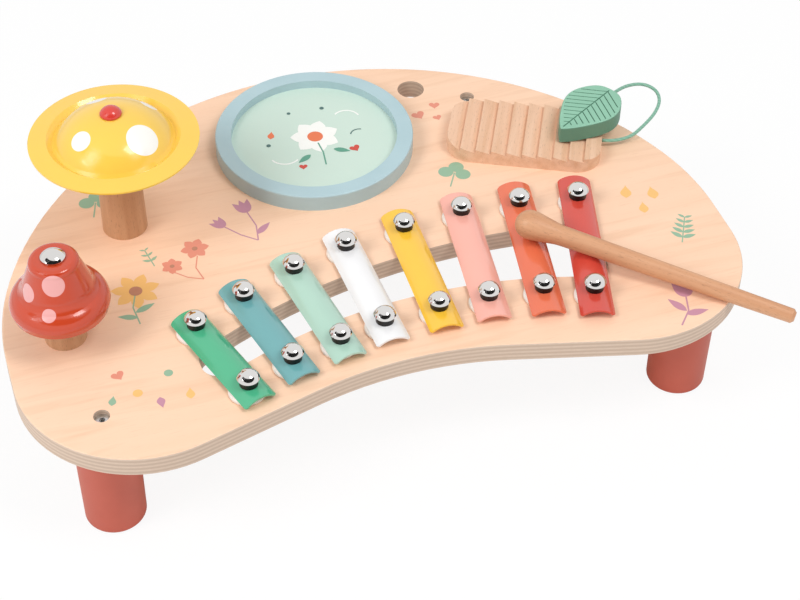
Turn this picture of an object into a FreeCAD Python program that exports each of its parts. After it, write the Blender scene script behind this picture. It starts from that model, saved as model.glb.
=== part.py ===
import FreeCAD, Part
import math
import os

Vector = FreeCAD.Vector
UP = Vector(0, 0, 1)

# A low wooden music table for small children, in millimetres.
# X runs along the table, Y to its curved rear edge, Z up from the floor.

# Table board
TABLE_LENGTH = 400.0
BOARD_THICKNESS = 12.0
REAR_ARC_BEYOND = 3.5
REAR_ARC_CENTRE_Y = 1.0
SIDE_ARC_ANGLE = 20.0
LOBE_RADIUS = 66.0
LOBE_CENTRE_Y = -2.5
FRONT_ARC_RADIUS = 205.6
FRONT_ARC_CREST_Y = -42.4
BOARD_EDGE_ROUND = 0.8

# Legs and the bolts that pull them to the board
LEG_LENGTH = 62.0
LEG_TOP_RADIUS = 16.7
LEG_FOOT_RADIUS = 16.2
LEG_FOOT_ROUND = 2.0
FRONT_LEG_X = 161.0
FRONT_LEG_Y = -33.0
REAR_LEG_X = 100.0
REAR_LEG_Y = 153.5
BOLT_RADIUS = 2.5
BOLT_HEAD_RADIUS = 4.0
BOLT_HEAD_HEIGHT = 3.0
BOLT_SOCKET_RADIUS = 1.7
BOLT_SOCKET_DEPTH = 1.8
BOLT_LENGTH = 20.0
COUNTERBORE_DEPTH = 6.0
INSERT_RADIUS = 4.0
INSERT_LENGTH = 15.0
INSERT_FLANGE_RADIUS = 5.2
INSERT_FLANGE_HEIGHT = 1.2

# Curved slot under the chime bars
SLOT_FAR_CENTRE = (55.3, -308.5)
SLOT_FAR_RADIUS = 342.8
SLOT_NEAR_CENTRE = (21.7, -277.8)
SLOT_NEAR_RADIUS = 278.3
SLOT_LEFT_X = -105.5
SLOT_RIGHT_X = 124.0
SLOT_CORNER_RADIUS = 9.5

# Chime bars, bent from sheet steel, each on two dome nails placed by hand
BAR_COLOURS = ["green", "blue", "mint", "white", "yellow", "pink", "orange", "red"]
SHORTEST_BAR = 74.0
BAR_LENGTH_STEP = 5.0
BAR_WIDTH = 18.6
BAR_RISE = 4.0
BAR_SHEET = 1.1
BAR_HOLE_RADIUS = 2.2
BAR_CORNER_RADIUS = 1.5
REAR_NAILS = [(-101.8, 9.0), (-72.5, 22.5), (-41.6, 34.5), (-9.7, 43.3),
              (25.2, 48.1), (59.8, 51.2), (93.0, 48.2), (126.1, 43.0)]
FRONT_NAILS = [(-86.5, -39.8), (-60.4, -29.4), (-32.9, -23.3), (-7.2, -17.8),
               (23.4, -16.3), (51.1, -17.0), (80.9, -20.3), (106.6, -28.8)]
PAD_RADIUS = 10.8
PAD_OFF_CENTRE = 1.4
PAD_THICKNESS = 2.4
PAD_BOSS_RADIUS = 4.6
NAIL_HEAD_RADIUS = 6.0
NAIL_SKIRT_RADIUS = 4.9
NAIL_SKIRT_HEIGHT = 4.6
NAIL_DOME_HEIGHT = 3.8
NAIL_SHANK_RADIUS = 1.4
NAIL_DEPTH = 9.5

# Drum
DRUM_CENTRE = (0.0, 137.5)
DRUM_RING_RADIUS = 57.2
DRUM_RING_BORE = 48.1
DRUM_RING_HEIGHT = 10.0
DRUM_RING_ROUND = 0.8
DRUM_SEAT_RADIUS = 52.6
DRUM_SKIN_THICKNESS = 0.5
DRUM_SKIN_HEIGHT = 4.8
DRUM_HOOP_BORE = 45.0
DRUM_SCREW_ANGLES = [45.0, 135.0, 225.0, 315.0]

# Wood screws driven up from below
WOOD_SCREW_RADIUS = 1.75
WOOD_SCREW_HEAD_RADIUS = 3.5
WOOD_SCREW_HEAD_HEIGHT = 2.2
DRUM_SCREW_LENGTH = 18.0
GUIRO_SCREW_LENGTH = 17.0
POST_SCREW_LENGTH = 30.0

# Cymbal on its dowel
CYMBAL_CENTRE = (-119.6, 103.1)
STEM_BASE_RADIUS = 12.4
STEM_TOP_RADIUS = 11.4
STEM_HEIGHT = 74.0
STEM_EDGE = 1.2
CYMBAL_RADIUS = 45.5
CYMBAL_RIM_HEIGHT = 62.9
CYMBAL_SHEET = 1.0
CYMBAL_BRIM_INNER = 35.6
CYMBAL_BRIM_LIFT = 1.5
CYMBAL_GROOVE_RADIUS = 32.8
CYMBAL_GROOVE_DROP = 0.8
CYMBAL_DOME_FOOT = 31.2
CYMBAL_DOME_HEIGHT = 15.6
CYMBAL_FLAT_RADIUS = 6.5
CYMBAL_HOLE_RADIUS = 2.6
CYMBAL_CAP_RADIUS = 5.8
CYMBAL_CAP_HEIGHT = 3.6
WASHER_RADIUS = 5.5
CAP_SCREW_RADIUS = 2.0
CAP_SCREW_LENGTH = 24.0

# Bell on its turned post
BELL_CENTRE = (-167.2, 28.0)
POST_BASE_RADIUS = 11.0
POST_BASE_HEIGHT = 17.0
POST_NECK_RADIUS = 6.5
POST_NECK_ROUND = 3.0
BELL_TOP_HEIGHT = 56.0
BELL_LIP_HEIGHT = 23.0
BELL_WIDEST_HEIGHT = 26.5
BELL_WIDEST_RADIUS = 25.9
BELL_SHEET = 1.3
BELL_TOP_RADIUS = 9.8
BELL_SHOULDER_RADIUS = 13.0
BELL_SHOULDER_DROP = 3.6
BELL_WAIST_RADIUS = 17.6
BELL_WAIST_HEIGHT = 40.0
BELL_HOLE_RADIUS = 2.6
BELL_WASHER_THICKNESS = 2.2
BELL_NUT_RADIUS = 6.4
BELL_NUT_SKIRT = 0.8
BELL_NUT_DOME = 3.0

# Guiro, a block with saw teeth cut across its top
GUIRO_CENTRE = (118.2, 103.9)
GUIRO_ANGLE = -26.3
GUIRO_LENGTH = 89.0
GUIRO_WIDTH = 48.0
GUIRO_HEIGHT = 9.5
GUIRO_TEETH = 10
GUIRO_TOOTH_DEPTH = 2.3
GUIRO_CORNER_RADIUS = 14.0
GUIRO_SCREW_OFFSET = 28.0

# Leaf-shaped scraper on a cord
LEAF_TIP = (132.1, 86.0)
LEAF_ANGLE = 31.0
LEAF_LENGTH = 49.0
LEAF_HALF_WIDTH = 16.4
LEAF_WIDEST = 31.5
LEAF_THICKNESS = 10.0
LEAF_EDGE_ROUND = 0.8
LEAF_GROOVE = 0.8
LEAF_GROOVE_DEPTH = 0.6
LEAF_VEINS = 10
LEAF_VEIN_ANGLE = 58.0
LEAF_VEIN_MARGIN = 1.2
CORD_RADIUS = 1.0
CORD_HOLE_RADIUS = 1.6
CORD_HOLE_DEPTH = 7.0
CORD_ACROSS_GUIRO = 2.0
CORD_SOCKET_HEIGHT = 4.4

# Mallet, one turned piece, and the hole that stores it
MALLET_LENGTH = 158.0
MALLET_HEAD_RADIUS = 8.1
MALLET_HEAD_LENGTH = 28.0
MALLET_HANDLE_RADIUS = 5.6
MALLET_END_RADIUS = 4.0
MALLET_HEAD_AT = (87.7, 19.4)
MALLET_DIRECTION = -40.3
MALLET_BAR_REACH = 34.0
MALLET_EDGE_REACH = 112.0
MALLET_HOLE_CENTRE = (70.0, 170.5)
MALLET_HOLE_RADIUS = 8.0

# Clearances
LIE_GAP = 0.3
TURNING_GAP = 0.3
SCREW_CLEARANCE = 0.25
SEAT_CLEARANCE = 0.15

# Worked out
BOARD_TOP = LEG_LENGTH + BOARD_THICKNESS
BAR_FOOT = BOARD_TOP + PAD_THICKNESS
BAR_CROWN = BAR_FOOT + BAR_RISE
DRUM_SKIN_TOP = BOARD_TOP + DRUM_SKIN_HEIGHT
GUIRO_TOP = BOARD_TOP + GUIRO_HEIGHT
LEAF_BOTTOM = GUIRO_TOP + LIE_GAP
STEM_TOP = BOARD_TOP + STEM_HEIGHT
LEG_CENTRES = {
    "front_left": (-FRONT_LEG_X, FRONT_LEG_Y),
    "front_right": (FRONT_LEG_X, FRONT_LEG_Y),
    "rear_left": (-REAR_LEG_X, REAR_LEG_Y),
    "rear_right": (REAR_LEG_X, REAR_LEG_Y),
}

pieces = {}


def point(centre, radius, degrees, z=0.0):
    angle = math.radians(degrees)
    return Vector(centre[0] + radius * math.cos(angle), centre[1] + radius * math.sin(angle), z)


def arc(centre, radius, start, end, z=0.0):
    return Part.Arc(point(centre, radius, start, z), point(centre, radius, (start + end) / 2, z),
                    point(centre, radius, end, z)).toShape()


def line(a, b):
    return Part.LineSegment(a, b).toShape()


def cylinder(centre, radius, bottom, top):
    return Part.makeCylinder(radius, top - bottom, Vector(centre[0], centre[1], bottom), UP)


def prism(edges, bottom, top):
    wire = Part.Wire(Part.__sortEdges__(edges))
    face = Part.Face(wire)
    face.translate(Vector(0, 0, bottom))
    return face.extrude(Vector(0, 0, top - bottom))


def turned(edges, centre):
    face = Part.Face(Part.Wire(edges))
    solid = face.revolve(Vector(0, 0, 0), UP, 360)
    solid.translate(Vector(centre[0], centre[1], 0))
    return solid


def profile(*corners):
    spots = [Vector(radius, 0, z) for radius, z in corners]
    return [line(a, b) for a, b in zip(spots, spots[1:] + spots[:1])]


def vertical_edges(solid):
    found = []
    for edge in solid.Edges:
        box = edge.BoundBox
        if box.ZLength > 0.5 and box.XLength < 0.01 and box.YLength < 0.01:
            found.append(edge)
    return found


def level_edges(solid, z):
    return [e for e in solid.Edges if abs(e.BoundBox.ZMin - z) < 0.01 and abs(e.BoundBox.ZMax - z) < 0.01]


def nail_places():
    places = []
    for front, rear in zip(FRONT_NAILS, REAR_NAILS):
        places += [front, rear]
    return places


def guiro_spot(along, across, z):
    angle = math.radians(GUIRO_ANGLE)
    return Vector(GUIRO_CENTRE[0] + along * math.cos(angle) - across * math.sin(angle),
                  GUIRO_CENTRE[1] + along * math.sin(angle) + across * math.cos(angle), z)


def drum_screw_spots():
    radius = (DRUM_SEAT_RADIUS + DRUM_RING_RADIUS) / 2
    return [point(DRUM_CENTRE, radius, angle) for angle in DRUM_SCREW_ANGLES]


def board_outline():
    half = TABLE_LENGTH / 2
    rear_radius = half + REAR_ARC_BEYOND
    rear = (0.0, REAR_ARC_CENTRE_Y)
    turn = math.radians(SIDE_ARC_ANGLE)
    side_radius = (half - rear_radius * math.cos(turn)) / (1 - math.cos(turn))
    side = point(rear, rear_radius - side_radius, SIDE_ARC_ANGLE)
    lobe = (half - LOBE_RADIUS, LOBE_CENTRE_Y)
    front = (0.0, FRONT_ARC_CREST_Y - FRONT_ARC_RADIUS)
    apart = math.hypot(lobe[0] - front[0], lobe[1] - front[1])
    bearing = math.degrees(math.atan2(lobe[1] - front[1], lobe[0] - front[0]))
    tangent = bearing + math.degrees(math.acos((FRONT_ARC_RADIUS + LOBE_RADIUS) / apart))
    lobe_end = tangent - 180
    right = [
        arc((side.x, side.y), side_radius, 0, SIDE_ARC_ANGLE),
        line(Vector(half, side.y, 0), Vector(half, LOBE_CENTRE_Y, 0)),
        arc(lobe, LOBE_RADIUS, 0, lobe_end),
        line(point(lobe, LOBE_RADIUS, lobe_end), point(front, FRONT_ARC_RADIUS, tangent)),
    ]
    left = [edge.mirror(Vector(0, 0, 0), Vector(1, 0, 0)) for edge in right]
    middle = [
        arc(rear, rear_radius, SIDE_ARC_ANGLE, 180 - SIDE_ARC_ANGLE),
        arc(front, FRONT_ARC_RADIUS, tangent, 180 - tangent),
    ]
    return right + left + middle


def slot_solid(bottom, top):
    def on_arc(centre, radius, x):
        return Vector(x, centre[1] + math.sqrt(radius ** 2 - (x - centre[0]) ** 2), 0)

    middle = (SLOT_LEFT_X + SLOT_RIGHT_X) / 2
    far = [on_arc(SLOT_FAR_CENTRE, SLOT_FAR_RADIUS, x) for x in (SLOT_LEFT_X, middle, SLOT_RIGHT_X)]
    near = [on_arc(SLOT_NEAR_CENTRE, SLOT_NEAR_RADIUS, x) for x in (SLOT_LEFT_X, middle, SLOT_RIGHT_X)]
    edges = [Part.Arc(*far).toShape(), line(far[2], near[2]), Part.Arc(*near).toShape(), line(near[0], far[0])]
    solid = prism(edges, bottom, top)
    return solid.makeFillet(SLOT_CORNER_RADIUS, vertical_edges(solid))


def wood_screw(spot, length):
    bottom = LEG_LENGTH
    shank = cylinder(spot, WOOD_SCREW_RADIUS, bottom + WOOD_SCREW_HEAD_HEIGHT, bottom + length - 3)
    head = Part.makeCone(WOOD_SCREW_HEAD_RADIUS, WOOD_SCREW_RADIUS, WOOD_SCREW_HEAD_HEIGHT,
                         Vector(spot[0], spot[1], bottom), UP)
    tip = Part.makeCone(WOOD_SCREW_RADIUS, 0.4, 3, Vector(spot[0], spot[1], bottom + length - 3), UP)
    return head.fuse([shank, tip]).removeSplitter()


def screw_hole(spot, length):
    bottom = LEG_LENGTH
    bore = cylinder(spot, WOOD_SCREW_RADIUS + SCREW_CLEARANCE, bottom - 1, bottom + length + 0.5)
    sink = Part.makeCone(WOOD_SCREW_HEAD_RADIUS + SCREW_CLEARANCE, WOOD_SCREW_RADIUS + SCREW_CLEARANCE,
                         WOOD_SCREW_HEAD_HEIGHT, Vector(spot[0], spot[1], bottom), UP)
    return bore.fuse(sink)


def guiro_screw_spots():
    return [guiro_spot(side * GUIRO_SCREW_OFFSET, 0, 0) for side in (-1, 1)]


# Table board: birch plywood with every hole that the pieces on it need
def build_board():
    board = prism(board_outline(), LEG_LENGTH, BOARD_TOP)
    board = board.makeFillet(BOARD_EDGE_ROUND, level_edges(board, BOARD_TOP) + level_edges(board, LEG_LENGTH))
    cuts = [slot_solid(LEG_LENGTH - 1, BOARD_TOP + 1)]
    cuts.append(cylinder(MALLET_HOLE_CENTRE, MALLET_HOLE_RADIUS, LEG_LENGTH - 1, BOARD_TOP + 1))
    cuts.append(cylinder(DRUM_CENTRE, DRUM_HOOP_BORE, LEG_LENGTH - 1, BOARD_TOP + 1))
    for centre in LEG_CENTRES.values():
        cuts.append(cylinder(centre, BOLT_RADIUS + SCREW_CLEARANCE, LEG_LENGTH - 1, BOARD_TOP + 1))
        cuts.append(cylinder(centre, BOLT_HEAD_RADIUS + SCREW_CLEARANCE, BOARD_TOP - COUNTERBORE_DEPTH,
                             BOARD_TOP + 1))
    for spot in nail_places():
        cuts.append(cylinder(spot, NAIL_SHANK_RADIUS, BOARD_TOP - NAIL_DEPTH, BOARD_TOP + 1))
    for spot in drum_screw_spots():
        cuts.append(screw_hole(spot, DRUM_SCREW_LENGTH))
    for spot in guiro_screw_spots():
        cuts.append(screw_hole(spot, GUIRO_SCREW_LENGTH))
    for spot in (CYMBAL_CENTRE, BELL_CENTRE):
        cuts.append(screw_hole(spot, POST_SCREW_LENGTH))
    pieces["tabletop"] = board.cut(cuts)


# Legs: turned beech, drawn up to the board by a bolt in a threaded insert
def build_legs():
    bolts = []
    inserts = []
    for name, centre in LEG_CENTRES.items():
        leg = Part.makeCone(LEG_FOOT_RADIUS, LEG_TOP_RADIUS, LEG_LENGTH, Vector(centre[0], centre[1], 0), UP)
        leg = leg.makeFillet(LEG_FOOT_ROUND, level_edges(leg, 0))
        bore_bottom = LEG_LENGTH - INSERT_LENGTH - 4
        leg = leg.cut([cylinder(centre, INSERT_RADIUS, bore_bottom, LEG_LENGTH + 1),
                       cylinder(centre, INSERT_FLANGE_RADIUS, LEG_LENGTH - INSERT_FLANGE_HEIGHT, LEG_LENGTH + 1)])
        pieces["leg_" + name] = leg
        insert = cylinder(centre, INSERT_RADIUS, LEG_LENGTH - INSERT_LENGTH, LEG_LENGTH - INSERT_FLANGE_HEIGHT)
        insert = insert.fuse(cylinder(centre, INSERT_FLANGE_RADIUS, LEG_LENGTH - INSERT_FLANGE_HEIGHT, LEG_LENGTH))
        insert = insert.cut(cylinder(centre, BOLT_RADIUS, LEG_LENGTH - INSERT_LENGTH - 1, LEG_LENGTH + 1))
        inserts.append(insert)
        seat = BOARD_TOP - COUNTERBORE_DEPTH
        bolt = cylinder(centre, BOLT_HEAD_RADIUS, seat, seat + BOLT_HEAD_HEIGHT)
        bolt = bolt.fuse(cylinder(centre, BOLT_RADIUS, seat - BOLT_LENGTH, seat)).removeSplitter()
        socket = Part.makePolygon([point(centre, BOLT_SOCKET_RADIUS, 60 * k, seat + BOLT_HEAD_HEIGHT)
                                   for k in range(7)])
        bolt = bolt.cut(Part.Face(socket).extrude(Vector(0, 0, -BOLT_SOCKET_DEPTH)))
        bolts.append(bolt)
    pieces["leg_bolts"] = Part.makeCompound(bolts)
    pieces["leg_inserts"] = Part.makeCompound(inserts)


# Chime bar: sheet steel rolled to an arch, cut square, punched for two nails
def build_bar(index):
    half = BAR_WIDTH / 2
    outer = (half ** 2 + BAR_RISE ** 2) / (2 * BAR_RISE)
    inner = outer - BAR_SHEET
    sweep = math.degrees(math.asin(half / outer))
    centre_z = BAR_CROWN - outer

    def ring(radius, degrees):
        angle = math.radians(degrees)
        return Vector(radius * math.sin(angle), 0, centre_z + radius * math.cos(angle))

    inner_sweep = math.degrees(math.acos((BAR_FOOT - centre_z) / inner))
    edges = [
        Part.Arc(ring(outer, -sweep), ring(outer, 0), ring(outer, sweep)).toShape(),
        line(ring(outer, sweep), ring(inner, inner_sweep)),
        Part.Arc(ring(inner, inner_sweep), ring(inner, 0), ring(inner, -inner_sweep)).toShape(),
        line(ring(inner, -inner_sweep), ring(outer, -sweep)),
    ]
    length = SHORTEST_BAR + index * BAR_LENGTH_STEP
    front = FRONT_NAILS[index]
    rear = REAR_NAILS[index]
    gap = math.hypot(rear[0] - front[0], rear[1] - front[1])
    overhang = (length - gap) / 2
    bar = Part.Face(Part.Wire(edges)).extrude(Vector(0, length, 0))
    plan = Part.makeBox(BAR_WIDTH, length, BAR_RISE + 2, Vector(-half, 0, BAR_FOOT - 1))
    plan = plan.makeFillet(BAR_CORNER_RADIUS, vertical_edges(plan))
    bar = bar.common(plan)
    bar = bar.cut([cylinder((0, y), BAR_HOLE_RADIUS, BAR_FOOT - 1, BAR_CROWN + 1) for y in (overhang, overhang + gap)])
    bar.translate(Vector(0, -overhang, 0))
    turn = math.degrees(math.atan2(rear[0] - front[0], rear[1] - front[1]))
    bar.rotate(Vector(0, 0, 0), UP, -turn)
    bar.translate(Vector(front[0], front[1], 0))
    pieces["bar_" + BAR_COLOURS[index]] = bar


# Dome nails and the soft clear pads that let the bars ring
def build_nails_and_pads():
    nails = []
    pads = []
    half = BAR_WIDTH / 2
    under_radius = (half ** 2 + BAR_RISE ** 2) / (2 * BAR_RISE) - BAR_SHEET
    boss_fall = under_radius - math.sqrt(under_radius ** 2 - PAD_BOSS_RADIUS ** 2)
    boss_top = BAR_CROWN - BAR_SHEET - boss_fall - SEAT_CLEARANCE
    sphere_radius = (NAIL_HEAD_RADIUS ** 2 + NAIL_DOME_HEIGHT ** 2) / (2 * NAIL_DOME_HEIGHT)
    for spot in nail_places():
        skirt_top = BAR_CROWN + NAIL_SKIRT_HEIGHT
        dome = Part.makeSphere(sphere_radius, Vector(spot[0], spot[1], skirt_top + NAIL_DOME_HEIGHT - sphere_radius))
        dome = dome.common(cylinder(spot, NAIL_HEAD_RADIUS + 1, skirt_top, skirt_top + NAIL_DOME_HEIGHT + 1))
        skirt = cylinder(spot, NAIL_SKIRT_RADIUS, BAR_CROWN, skirt_top)
        shank = cylinder(spot, NAIL_SHANK_RADIUS, BOARD_TOP - NAIL_DEPTH, BAR_CROWN)
        nails.append(dome.fuse([skirt, shank]).removeSplitter())
        pad = cylinder((spot[0] - PAD_OFF_CENTRE, spot[1]), PAD_RADIUS, BOARD_TOP, BAR_FOOT)
        pad = pad.fuse(cylinder(spot, PAD_BOSS_RADIUS, BAR_FOOT, boss_top)).removeSplitter()
        pads.append(pad.cut(cylinder(spot, NAIL_SHANK_RADIUS + SEAT_CLEARANCE, BOARD_TOP - 1, boss_top + 1)))
    pieces["bar_nails"] = Part.makeCompound(nails)
    pieces["bar_pads"] = Part.makeCompound(pads)


# Drum: a film skin clamped between a rebated ring and an inner hoop
def build_drum():
    skin_bottom = DRUM_SKIN_TOP - DRUM_SKIN_THICKNESS
    ring_top = BOARD_TOP + DRUM_RING_HEIGHT
    ring = cylinder(DRUM_CENTRE, DRUM_RING_RADIUS, BOARD_TOP, ring_top)
    ring = ring.makeFillet(DRUM_RING_ROUND, level_edges(ring, ring_top))
    ring = ring.cut([cylinder(DRUM_CENTRE, DRUM_RING_BORE, BOARD_TOP - 1, ring_top + 1),
                     cylinder(DRUM_CENTRE, DRUM_SEAT_RADIUS, BOARD_TOP - 1, DRUM_SKIN_TOP)])
    tips = []
    for spot in drum_screw_spots():
        tips.append(cylinder(spot, WOOD_SCREW_RADIUS, BOARD_TOP - 1, LEG_LENGTH + DRUM_SCREW_LENGTH + 0.5))
    pieces["drum_ring"] = ring.cut(tips)
    edge = DRUM_SEAT_RADIUS - SEAT_CLEARANCE
    pieces["drum_skin"] = cylinder(DRUM_CENTRE, edge, skin_bottom, DRUM_SKIN_TOP)
    hoop = cylinder(DRUM_CENTRE, edge, BOARD_TOP, skin_bottom)
    pieces["drum_hoop"] = hoop.cut(cylinder(DRUM_CENTRE, DRUM_HOOP_BORE, BOARD_TOP - 1, skin_bottom + 1))
    pieces["drum_screws"] = Part.makeCompound([wood_screw(s, DRUM_SCREW_LENGTH) for s in drum_screw_spots()])


# Posts for the cymbal and the bell, each held by one long screw from below
def build_posts():
    stem_profile = profile((0, BOARD_TOP), (STEM_BASE_RADIUS, BOARD_TOP), (STEM_TOP_RADIUS, STEM_TOP - STEM_EDGE),
                           (STEM_TOP_RADIUS - STEM_EDGE, STEM_TOP), (0, STEM_TOP))
    stem = turned(stem_profile, CYMBAL_CENTRE)
    pilot = LEG_LENGTH + POST_SCREW_LENGTH + 0.5
    stem = stem.cut([cylinder(CYMBAL_CENTRE, WOOD_SCREW_RADIUS, BOARD_TOP - 1, pilot),
                     cylinder(CYMBAL_CENTRE, CAP_SCREW_RADIUS, STEM_TOP - CAP_SCREW_LENGTH, STEM_TOP + 1)])
    pieces["cymbal_stem"] = stem
    neck_top = BOARD_TOP + BELL_TOP_HEIGHT - BELL_SHEET - BELL_WASHER_THICKNESS
    base_top = BOARD_TOP + POST_BASE_HEIGHT
    corner = POST_NECK_RADIUS + POST_NECK_ROUND
    low = Vector(POST_NECK_RADIUS, 0, base_top + POST_NECK_ROUND)
    bend = math.sqrt(0.5) * POST_NECK_ROUND
    mid = Vector(corner - bend, 0, base_top + POST_NECK_ROUND - bend)
    edges = [
        line(Vector(0, 0, BOARD_TOP), Vector(POST_BASE_RADIUS, 0, BOARD_TOP)),
        line(Vector(POST_BASE_RADIUS, 0, BOARD_TOP), Vector(POST_BASE_RADIUS, 0, base_top)),
        line(Vector(POST_BASE_RADIUS, 0, base_top), Vector(corner, 0, base_top)),
        Part.Arc(Vector(corner, 0, base_top), mid, low).toShape(),
        line(low, Vector(POST_NECK_RADIUS, 0, neck_top)),
        line(Vector(POST_NECK_RADIUS, 0, neck_top), Vector(0, 0, neck_top)),
        line(Vector(0, 0, neck_top), Vector(0, 0, BOARD_TOP)),
    ]
    post = turned(edges, BELL_CENTRE)
    post = post.cut([cylinder(BELL_CENTRE, WOOD_SCREW_RADIUS, BOARD_TOP - 1, pilot),
                     cylinder(BELL_CENTRE, CAP_SCREW_RADIUS, neck_top - 16, neck_top + 1)])
    pieces["bell_post"] = post
    pieces["post_screws"] = Part.makeCompound([wood_screw(s, POST_SCREW_LENGTH) for s in (CYMBAL_CENTRE, BELL_CENTRE)])


def domed_screw(centre, head_radius, skirt, dome, seat, length):
    sphere_radius = (head_radius ** 2 + dome ** 2) / (2 * dome)
    top = seat + skirt + dome
    cap = Part.makeSphere(sphere_radius, Vector(centre[0], centre[1], top - sphere_radius))
    cap = cap.common(cylinder(centre, head_radius + 1, seat + skirt, top + 1))
    body = cylinder(centre, head_radius, seat, seat + skirt)
    return cap.fuse([body, cylinder(centre, CAP_SCREW_RADIUS, seat - length, seat)]).removeSplitter()


# Cymbal: spun steel, a shallow brim, a groove and a tall dome
def build_cymbal():
    rim = BOARD_TOP + CYMBAL_RIM_HEIGHT
    crest = rim + CYMBAL_BRIM_LIFT
    groove = rim - CYMBAL_GROOVE_DROP
    top = rim + CYMBAL_DOME_HEIGHT

    def skin(drop, inward):
        rise = top - groove
        reach = CYMBAL_DOME_FOOT - CYMBAL_FLAT_RADIUS - inward
        bow_r = CYMBAL_FLAT_RADIUS + reach * 0.74
        bow_z = top - drop - rise * 0.47
        spots = [
            Vector(CYMBAL_FLAT_RADIUS, 0, top - drop),
            Vector(bow_r, 0, bow_z),
            Vector(CYMBAL_DOME_FOOT - inward, 0, groove + 1.6 - drop),
        ]
        lip = Vector(CYMBAL_GROOVE_RADIUS, 0, groove - drop)
        rise_spot = Vector(CYMBAL_BRIM_INNER - 1.0 + inward * 0.3, 0, crest - 0.8 - drop)
        brim = Vector(CYMBAL_BRIM_INNER, 0, crest - drop)
        return spots, lip, rise_spot, brim

    outer, outer_lip, outer_rise, outer_brim = skin(0, 0)
    inner, inner_lip, inner_rise, inner_brim = skin(CYMBAL_SHEET, CYMBAL_SHEET)
    rim_top = Vector(CYMBAL_RADIUS, 0, rim)
    rim_low = Vector(CYMBAL_RADIUS, 0, rim - CYMBAL_SHEET)
    hole_top = Vector(CYMBAL_HOLE_RADIUS, 0, top)
    hole_low = Vector(CYMBAL_HOLE_RADIUS, 0, top - CYMBAL_SHEET)
    edges = [
        line(hole_top, outer[0]),
        Part.Arc(*outer).toShape(),
        line(outer[2], outer_lip),
        line(outer_lip, outer_rise),
        line(outer_rise, outer_brim),
        line(outer_brim, rim_top),
        line(rim_top, rim_low),
        line(rim_low, inner_brim),
        line(inner_brim, inner_rise),
        line(inner_rise, inner_lip),
        line(inner_lip, inner[2]),
        Part.Arc(*reversed(inner)).toShape(),
        line(inner[0], hole_low),
        line(hole_low, hole_top),
    ]
    pieces["cymbal"] = turned(edges, CYMBAL_CENTRE)
    seat = top - CYMBAL_SHEET
    washer = cylinder(CYMBAL_CENTRE, WASHER_RADIUS, STEM_TOP, seat)
    bore = CAP_SCREW_RADIUS + SEAT_CLEARANCE
    pieces["cymbal_washer"] = washer.cut(cylinder(CYMBAL_CENTRE, bore, STEM_TOP - 1, seat + 1))
    cap_seat = top + TURNING_GAP
    reach = cap_seat - STEM_TOP + CAP_SCREW_LENGTH - 6
    pieces["cymbal_cap_screw"] = domed_screw(CYMBAL_CENTRE, CYMBAL_CAP_RADIUS, 0.8, CYMBAL_CAP_HEIGHT, cap_seat, reach)


# Bell: a deep-drawn steel cup with a rolled flare
def build_bell():
    top = BOARD_TOP + BELL_TOP_HEIGHT
    wall = BELL_SHEET

    def shell(inset):
        flat = Vector(BELL_TOP_RADIUS - inset * 0.4, 0, top - inset)
        shoulder = Vector(BELL_SHOULDER_RADIUS - inset, 0, top - BELL_SHOULDER_DROP - inset * 0.2)
        mid_r = (flat.x + shoulder.x) / 2 + 0.75
        mid_z = (flat.z + shoulder.z) / 2 + 0.75
        waist = Vector(BELL_WAIST_RADIUS - inset, 0, BOARD_TOP + BELL_WAIST_HEIGHT)
        flare = Vector(BELL_WAIST_RADIUS + 3.0 - inset * 0.8, 0, BOARD_TOP + BELL_WAIST_HEIGHT - 5.6 - inset * 0.6)
        widest = Vector(BELL_WIDEST_RADIUS - inset, 0, BOARD_TOP + BELL_WIDEST_HEIGHT)
        bulge = Vector(BELL_WIDEST_RADIUS - 1.4 - inset * 0.9, 0, BOARD_TOP + BELL_WIDEST_HEIGHT + 4.3 - inset * 0.4)
        sweep = Vector(BELL_WAIST_RADIUS + 1.15 - inset * 0.95, 0, BOARD_TOP + BELL_WAIST_HEIGHT - 3.1 - inset * 0.3)
        lip = Vector(BELL_WIDEST_RADIUS - 0.8 - inset, 0, BOARD_TOP + BELL_LIP_HEIGHT)
        return [
            Part.Arc(flat, Vector(mid_r, 0, mid_z), shoulder).toShape(),
            line(shoulder, waist),
            Part.Arc(waist, sweep, flare).toShape(),
            Part.Arc(flare, bulge, widest).toShape(),
            line(widest, lip),
        ], flat, lip

    outer, outer_flat, outer_lip = shell(0)
    inner, inner_flat, inner_lip = shell(wall)
    hole_top = Vector(BELL_HOLE_RADIUS, 0, top)
    hole_low = Vector(BELL_HOLE_RADIUS, 0, top - wall)
    edges = [line(hole_top, outer_flat)] + outer + [line(outer_lip, inner_lip)] + inner[::-1]
    edges += [line(inner_flat, hole_low), line(hole_low, hole_top)]
    face = Part.Face(Part.Wire(Part.__sortEdges__(edges)))
    bell = face.revolve(Vector(0, 0, 0), UP, 360)
    bell.translate(Vector(BELL_CENTRE[0], BELL_CENTRE[1], 0))
    pieces["bell"] = bell
    seat = top - wall
    washer = cylinder(BELL_CENTRE, WASHER_RADIUS, seat - BELL_WASHER_THICKNESS, seat)
    bore = CAP_SCREW_RADIUS + SEAT_CLEARANCE
    pieces["bell_washer"] = washer.cut(cylinder(BELL_CENTRE, bore, seat - 9, seat + 1))
    pieces["bell_dome_screw"] = domed_screw(BELL_CENTRE, BELL_NUT_RADIUS, BELL_NUT_SKIRT, BELL_NUT_DOME,
                                            top + TURNING_GAP, 16)


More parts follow.
